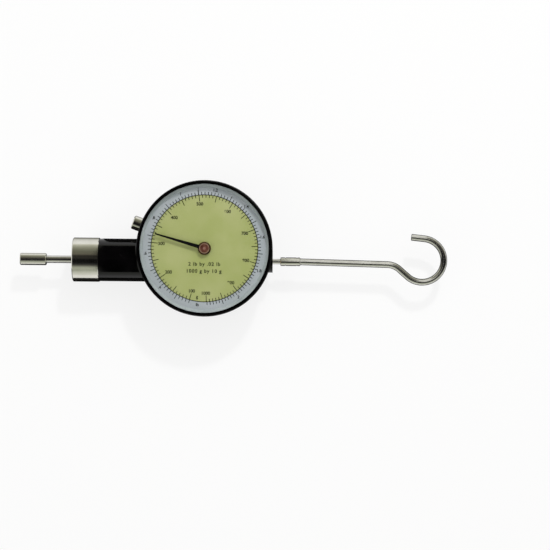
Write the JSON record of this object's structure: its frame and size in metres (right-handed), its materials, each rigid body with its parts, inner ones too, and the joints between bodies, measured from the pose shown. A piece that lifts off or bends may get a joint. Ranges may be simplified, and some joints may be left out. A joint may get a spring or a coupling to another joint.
{
  "type": "push and pull force gauge",
  "caption": "Pocket force gauge: round dial case with one sprung rod through it, flat push tip, neck cap, pull hook, geared pointer and a reset button on the rim.",
  "frame": {"origin": "centre of the back cover's face, under the dial's centre", "axes": "+X along the rod towards the hook, +Y up on the dial, +Z out of the dial"},
  "size_m": [0.1841, 0.0582, 0.0255],
  "materials": {
    "black_lacquer": "gloss black",
    "nickel_plate": "bright nickel plate",
    "polished_steel": "polished",
    "screw_steel": "turned, satin",
    "spring_steel": "drawn wire",
    "brass_plate": "satin",
    "bushing_brass": "turned",
    "pale_grey_ring": "satin pale grey",
    "dial_enamel": "matt print, green centre and grey outer zone",
    "clear_crystal": "clear",
    "pointer_black": "satin black",
    "copper_cap": "copper coloured lacquer"
  },
  "bodies": {
    "case": {"case_body": "black_lacquer", "back_cover": "black_lacquer", "cover_screws": "screw_steel", "bezel_ring": "black_lacquer", "crystal": "clear_crystal", "spacer_ring": "pale_grey_ring", "dial_plate": "dial_enamel", "dial_pin": "polished_steel", "base_plate": "brass_plate", "base_plate_screws": "screw_steel", "front_plate": "brass_plate", "plate_pillars": "brass_plate", "pillar_screws": "screw_steel", "arbor_bushings": "bushing_brass", "neck_cap": "nickel_plate", "front_bushing": "bushing_brass", "rear_bushing": "bushing_brass", "seat_washer": "polished_steel", "main_spring": "spring_steel", "button_bracket": "brass_plate", "bracket_screws": "screw_steel", "button_spring": "spring_steel", "lever_post": "polished_steel", "lever_clip": "polished_steel", "pawl_spring": "spring_steel", "leaf_post": "polished_steel"},
    "plunger": {"plunger_rod": "polished_steel", "plunger_tip": "nickel_plate", "spring_collar": "polished_steel", "collar_pin": "polished_steel", "rack_plate": "brass_plate", "rack_screws": "screw_steel", "guide_pin": "polished_steel", "rear_stem": "polished_steel", "hook_coupling": "nickel_plate", "hook": "polished_steel"},
    "pointer_assembly": {"arbor": "polished_steel", "pinion": "brass_plate", "hold_wheel": "brass_plate", "pointer_boss": "pointer_black", "pointer": "pointer_black", "pointer_cap": "copper_cap"},
    "button": {"reset_button": "nickel_plate"},
    "lever": {"pawl_lever": "polished_steel"}
  },
  "joints": [
    {"name": "plunger_slide", "type": "slide", "parent": "case", "child": "plunger", "axis": [1, 0, 0], "range_m": [-0.00305, 0.00765], "deforming": ["main_spring"]},
    {"name": "pointer_turn", "type": "hinge", "parent": "case", "child": "pointer_assembly", "pos_m": [0, 0, 0.0124], "axis": [0, 0, -1], "range_deg": [-100, 250.6]},
    {"name": "button_press", "type": "slide", "parent": "case", "child": "button", "axis": [0.9415, -0.3371, 0], "range_m": [0, 0.0016], "stiffness_N_per_m": 500, "springref_m": -0.001, "deforming": ["button_spring"]},
    {"name": "lever_swing", "type": "hinge", "parent": "case", "child": "lever", "pos_m": [-0.012, 0.013, 0.0077], "axis": [0, 0, 1], "range_deg": [0, 11.3], "deforming": ["pawl_spring"]}
  ],
  "couplings": [
    {"joint": "pointer_turn", "follows": "plunger_slide", "rad_per_m": 571.43},
    {"joint": "lever_swing", "follows": "button_press", "rad_per_m": 122.04}
  ]
}
